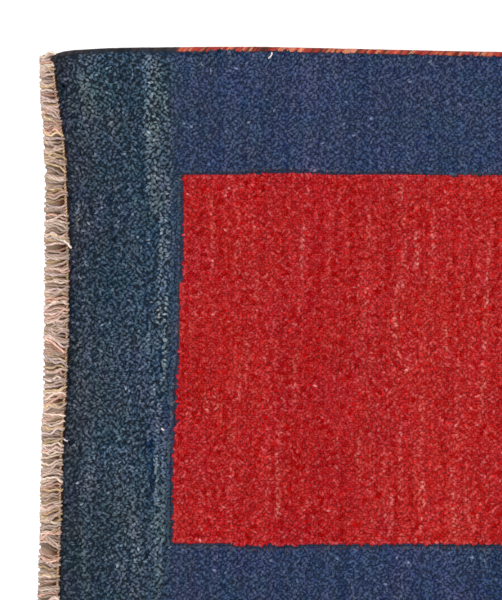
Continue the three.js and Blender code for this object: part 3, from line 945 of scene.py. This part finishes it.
def yarn_shape(centres, thickness, seed, ply_top_and_groove=None, ply_turn=PLY_TURN):
    """Points, faces and tones of two-ply yarns along these lines, painted lighter on the plies' tops and
    darker, as shade, in the grooves between them. The optional pair of tones gives the tops' tone and
    the grooves' tone.
    """
    own = np.random.default_rng(seed)
    count, rings, _ = centres.shape
    step = np.linalg.norm(np.diff(centres, axis=1), axis=2)
    run = np.concatenate([np.zeros((count, 1)), np.cumsum(step, axis=1)], axis=1)
    spin = run / ply_turn * FULL_TURN + own.uniform(0, FULL_TURN, (count, 1))
    angles = np.arange(YARN_SIDES) * FULL_TURN / YARN_SIDES
    lobe = np.cos(2 * angles[None, None] - spin[..., None])
    thick = thickness / 2 * (1 + YARN_UNEVEN * own.normal(0, 1, (count, 1, 1)))
    radii = thick * (1 + PLY_RELIEF * lobe)
    points, faces = tubes(centres, YARN_SIDES, radii, np.zeros(count), closed=True)
    # Painted shade in the grooves between the plies, and a painted highlight on their tops
    if ply_top_and_groove:
        light, dark = linear(ply_top_and_groove[0]), linear(ply_top_and_groove[1])
        tones = dark + (light - dark) * (0.5 + 0.5 * lobe)[..., None]
    else:
        tones = linear(YARN_TONES)[own.integers(0, len(YARN_TONES), count)]
        tones = tones * np.exp(own.normal(0, YARN_CONTRAST, (count, 1)))
        tones = tones[:, None, None] * (1 + PLY_SHADE * lobe)[..., None]
    apart = run * 0 + np.arange(count)[:, None] * YARNS_APART
    grime = np.exp(GRIME * noise(run, apart, 5, 1, seed + 1))
    colours = tones * grime[..., None, None]
    tip = colours[:, -1].mean(axis=1, keepdims=True)
    colours = np.concatenate([colours.reshape(count, -1, 3), tip], axis=1)
    return points, faces, colours.reshape(-1, 3)


def mat_shape(edge, tips, outward, half, seed):
    """Points, faces and tones of the mat that the lowest yarns of a fringe make on the floor, dark near
    the pile as painted shade.
    """
    share, height, tone = (np.array(found, float) for found in zip(*MAT_SECTION, strict=True))
    y = np.arange(-half - 0.5, half + 0.5, MAT_STEP)
    inner = edge(y) - outward * MAT_UNDER_PILE
    corner = np.clip((np.abs(y) - half) / MAT_CORNER + 1, 0, 1) ** 2
    inset = MAT_INSET + MAT_UNEVEN * ripple(y, 4, seed) + MAT_CORNER * corner
    outer = tips(np.clip(y, -half, half)) - outward * inset
    x = inner[:, None] + (outer - inner)[:, None] * share
    points = xyz(x, y[:, None], MAT_HEIGHT * height)
    tones = linear(tone) * np.exp(MAT_CONTRAST * ripple(y, 3.5, seed + 1))[:, None, None]
    index = np.arange(x.size).reshape(x.shape)
    after = np.roll(index, -1, axis=1)
    quads = np.stack([index[:-1], index[1:], after[1:], after[:-1]], axis=-1).reshape(-1, 4)
    fan = np.array([[0, 1, 2], [0, 2, 3], [0, 3, 4]])
    caps = np.concatenate([index[0][fan], index[-1][fan[:, ::-1]]])
    if outward > 0:
        quads, caps = quads[:, ::-1], caps[:, ::-1]
    return points.reshape(-1, 3), [quads, caps], tones.reshape(-1, 3)


def make_fringe(node, name, edge, outward, seed):
    """The warp ends: a dense mat of yarns that lie in locks, with others that cross over it."""
    own = np.random.default_rng(seed)
    tips = outermost(node, outward)
    half = np.abs(mesh_points(node)[:, 1]).max() - FRINGE_MARGIN
    share = np.linspace(0, 1, FRINGE_RINGS)[None]
    parts = []
    for layer, traits in enumerate(FRINGE_LAYERS):
        count, thickness, lift, follow, lean, wander, at_root, at_tip = traits
        root_y = np.linspace(-half, half, count) + own.normal(0, ROOTS_UNEVEN * (1 + layer), count)
        root_y = np.clip(root_y + GATHER[layer] * ripple(root_y, 6, seed + 6), -half, half)
        over_strip = OVER_STRIP_FROM * (own.random(count) < OVER_STRIP[layer])
        out_of_pile = STRIP_SHOWS + own.uniform(-ROOTS_SPREAD, ROOTS_SPREAD, count) - over_strip
        root_x = edge(root_y) + outward * out_of_pile
        lock = ripple(root_y, 21, seed + 1) + 0.6 * ripple(root_y, 9, seed + 2)
        leaning = FRINGE_LEAN * lock * follow + own.normal(0, lean, count)
        reach = np.abs(tips(np.clip(root_y + leaning, -half, half)) - root_x)
        reach = reach + TIPS_PAST - np.abs(own.normal(0, TIPS_UNEVEN, count))
        out = reach[:, None] * share
        apart = np.arange(count)[:, None] * YARNS_APART
        shared = noise(out, root_y[:, None], WANDER_LENGTH, 9, seed + 3)
        alone = (layer > 0) * noise(out, apart, WANDER_LENGTH, 1, seed + 4 + layer)
        sway = (SHARED_WANDER * shared + LONE_WANDER * alone) * wander
        sway = sway * np.minimum(out / WANDER_FROM, 1)
        sway = root_y[:, None] + leaning[:, None] * share + sway
        sway = np.clip(sway, -half - FRINGE_MARGIN, half + FRINGE_MARGIN)
        bob = 0.5 * (1 + noise(out, apart, 5, 1, seed + 8 + layer))
        crossing = over_strip[:, None] > 0
        over = np.minimum(out / np.where(crossing, RISE_OVER_STRIP, RISE), 1)
        rise = (lift + own.uniform(0, 0.7, count)[:, None] + bob) * over
        height = thickness / 2 + YARN_ROOM + rise * (1 - SINK * share) + crossing * (1 - share)
        centres = xyz(root_x[:, None] + outward * out, sway, height)
        points, faces, colours = yarn_shape(centres, thickness, seed + 10 * layer)
        along = np.tile(np.append(np.repeat(share, YARN_SIDES, axis=1), 1), count)[:, None]
        # Painted shade and light along each yarn: dark at the root, light at the tip, and redder where
        # darker
        level = at_root + (at_tip - at_root) * along**0.8
        tint = np.array(ROOT_TINT) + (1 - np.array(ROOT_TINT)) * np.clip(level, 0, 1)
        patch = np.exp(PATCHINESS * ripple(root_y, 7, seed + 7))
        colours = colours * level * tint * np.repeat(patch, len(colours) // count)[:, None]
        parts.append((points, faces, colours))
    parts.append(mat_shape(edge, tips, outward, half, seed + 90))
    for n, (at, thickness, ply_turn, light, dark) in enumerate(STRIP_YARNS):
        y = np.arange(-half - 1, half + 1, STRIP_STEP)
        line = xyz(edge(y) + outward * at, y, STRIP_HEIGHT)
        parts.append(yarn_shape(line[None], thickness, seed + 77 + n, (light, dark), ply_turn))
    return join_shapes(name, parts, warp_wool)


def back_material():
    """The rug's back: each knot shows as two small bumps, in rows between the wefts."""
    material, nodes, links, shader = matt_material("rug_back", {
        "Roughness": 0.92,
        "Specular IOR Level": 0.12,
        "Sheen Weight": 0.08,
    })

    def maths(operation, *values):
        node = nodes.new("ShaderNodeMath")
        node.operation = operation
        for n, value in enumerate(values):
            if isinstance(value, (int, float)):
                node.inputs[n].default_value = value
            else:
                links.new(value, node.inputs[n])
        return node.outputs[0]

    def moved(operation, vector, by):
        node = nodes.new("ShaderNodeVectorMath")
        node.operation = operation
        links.new(vector, node.inputs[0])
        node.inputs[1].default_value = by
        return node.outputs["Vector"]

    def split(vector):
        node = nodes.new("ShaderNodeSeparateXYZ")
        links.new(vector, node.inputs[0])
        return node.outputs

    def mixed(share, first, second):
        node = nodes.new("ShaderNodeMix")
        node.data_type = "RGBA"
        links.new(share, node.inputs["Factor"])
        for socket, value in (("A", first), ("B", second)):
            target = next(s for s in node.inputs if s.name == socket and s.type == "RGBA")
            if isinstance(value, tuple):
                target.default_value = (*linear(value), 1)
            else:
                links.new(value, target)
        return next(s for s in node.outputs if s.type == "RGBA")

    pitch = KNOT_PITCH * MM
    where = nodes.new("ShaderNodeTexCoord").outputs["Object"]
    corner = moved("SNAP", where, (pitch, pitch, 1))
    knot = split(moved("ADD", corner, (pitch / 2, pitch / 2, 0)))
    exact = split(where)
    near_line = maths("MULTIPLY_ADD", knot["Y"], -FIELD_TILT, knot["X"])
    past_near = maths("GREATER_THAN", near_line, -FIELD_HALF_LENGTH * MM)
    short_of_far = maths("LESS_THAN", knot["X"], FIELD_HALF_LENGTH * MM)
    inside_x = maths("MULTIPLY", past_near, short_of_far)
    inside_y = maths("LESS_THAN", maths("ABSOLUTE", knot["Y"]), FIELD_HALF_WIDTH * MM)
    inside = maths("MULTIPLY", inside_x, inside_y)
    ends = maths("GREATER_THAN", maths("ABSOLUTE", knot["X"]), BACK_ENDS_FROM * MM)
    border = mixed(ends, BACK_INDIGO, BACK_GREY)
    tone = mixed(inside, border, BACK_RED)
    grain = nodes.new("ShaderNodeTexWhiteNoise")
    grain.noise_dimensions = "2D"
    links.new(corner, grain.inputs["Vector"])
    streak = nodes.new("ShaderNodeTexNoise")
    streak.inputs["Scale"].default_value = 1
    links.new(moved("MULTIPLY", where, BACK_STREAKS), streak.inputs["Vector"])
    # Two bumps a knot across the rug, one a knot along it
    bump_x = maths("ABSOLUTE", maths("SINE", maths("MULTIPLY", exact["X"], np.pi / pitch)))
    bump_y = maths("ABSOLUTE", maths("SINE", maths("MULTIPLY", exact["Y"], FULL_TURN / pitch)))
    height = maths("POWER", maths("MULTIPLY", bump_x, bump_y), BUMP_POWER)
    level = maths("MULTIPLY_ADD", grain.outputs["Value"], *BACK_GRAIN)
    level = maths("MULTIPLY", level, maths("MULTIPLY_ADD", streak.outputs["Fac"], *BACK_STREAKINESS))
    # The hollows between the bumps are painted darker, as shade
    level = maths("MULTIPLY", level, maths("MULTIPLY_ADD", height, *BUMP_SHADES))
    # Painted light and shade between the tufts, as at the tufts' feet: lighter in the field and darker
    # at the rug's ends
    inside_pile = maths("GREATER_THAN", exact["Z"], PILE_SIDE_FROM * MM)
    change = maths("MULTIPLY_ADD", inside, *PILE_SIDE_FIELD)
    change = maths("MULTIPLY_ADD", ends, PILE_SIDE_ENDS, change)
    level = maths("MULTIPLY", level, maths("MULTIPLY_ADD", inside_pile, change, 1.0))
    relief_values = {"Strength": 0.8, "Distance": 0.9 * MM}
    shade_and_relief(nodes, links, shader, tone, level, height, relief_values)
    return material


def make_strays():
    """A loose warp end that lies up over the pile's edge, and light hairs caught in the pile."""
    t = np.linspace(0, 1, LOOSE_RINGS)
    loose = xyz(*[np.interp(t, LOOSE_SHARE, found) for found in (LOOSE_X, LOOSE_Y, LOOSE_Z)])
    points, faces, colours = yarn_shape(loose[None], LOOSE_THICKNESS, 5, LOOSE_TONES)
    # Painted darker at its low root and lighter at its raised tip
    parts = [(points, faces, colours * np.linspace(*LOOSE_SHADES, len(colours))[:, None])]
    s = np.linspace(-0.5, 0.5, HAIR_RINGS)
    height = PILE_TOP + HAIR_LIFT + HAIR_ARCH * np.cos(s * 4)
    for seed, tones, table in ((7, BRIGHT_HAIR_TONES, BRIGHT_HAIRS), (6, HAIR_TONES, LIGHT_HAIRS)):
        hairs = []
        for x, y, turn, long in table:
            angle = np.radians(turn) + HAIR_BEND * s
            hairs.append(xyz(x + long * s * np.cos(angle), y + long * s * np.sin(angle), height))
        parts.append(yarn_shape(np.array(hairs), HAIR_THICKNESS, seed, tones))
    return join_shapes("stray_yarns", parts, warp_wool)


wool = wool_material("pile_wool", sheen=0.0, roughness=0.95, fibre=900)
cord_wool = wool_material("selvedge_wool", sheen=0.05, roughness=0.85, fibre=1100)
warp_wool = wool_material("warp_wool", sheen=0.05, roughness=0.85, fibre=1300)
back_wool = back_material()

ground = make_ground()
pile = [*make_pile(), make_rim()]
for piece in (ground, *pile):
    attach(piece, "root")
    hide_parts("pile_field")

for side in ("back", "front"):
    cord = make_selvedge(f"selvedge_{side}", f"overcast_{side}")
    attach(cord, "root")
    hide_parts(f"selvedge_{side}")

for side, edge, outward, seed in (("near", near_edge, -1, 100), ("far", far_edge, 1, 200)):
    fringe = make_fringe(f"fringe_{side}", f"warp_ends_{side}", edge, outward, seed)
    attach(fringe, "root")
    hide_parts(f"fringe_{side}")

strays = make_strays()
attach(strays, "root")

# The floor, the lights and the camera
floor_corners = [(-FLOOR, -FLOOR), (FLOOR, -FLOOR), (FLOOR, FLOOR), (-FLOOR, FLOOR)]
floor_points = [(x, y, -FLOOR_BELOW) for x, y in floor_corners]
floor_material = matt_material("floor", {"Base Color": (0.9, 0.9, 0.9, 1), "Roughness": 0.9})[0]
floor = make_mesh("floor", floor_points, [np.array([[0, 1, 2, 3]])], None, floor_material)

world = bpy.data.worlds.new("studio")
world.use_nodes = True
set_inputs(world.node_tree.nodes["Background"], {"Color": (1, 1, 1, 1), "Strength": WORLD_LIGHT})
bpy.context.scene.world = world

for name, at, size, power in SOFTBOXES:
    light = bpy.data.lights.new(name, "AREA")
    light.shape = "SQUARE"
    light.size = size
    light.energy = power
    lamp = bpy.data.objects.new(name, light)
    lamp.location = at
    aim = -lamp.location.normalized()
    lamp.rotation_euler = aim.to_track_quat("-Z", "Y").to_euler()
    bpy.context.scene.collection.objects.link(lamp)

camera_data = bpy.data.cameras.new("camera")
camera_data.sensor_width = SENSOR_WIDTH
camera_data.lens = SENSOR_WIDTH * (CAMERA_HEIGHT - PILE_TOP * MM) / (VIEW_TALL * MM)
camera = bpy.data.objects.new("camera", camera_data)
camera.location = (VIEW_CENTRE[0] * MM, VIEW_CENTRE[1] * MM, CAMERA_HEIGHT)
bpy.context.scene.collection.objects.link(camera)
bpy.context.scene.camera = camera
bpy.context.scene.view_settings.view_transform = "Standard"
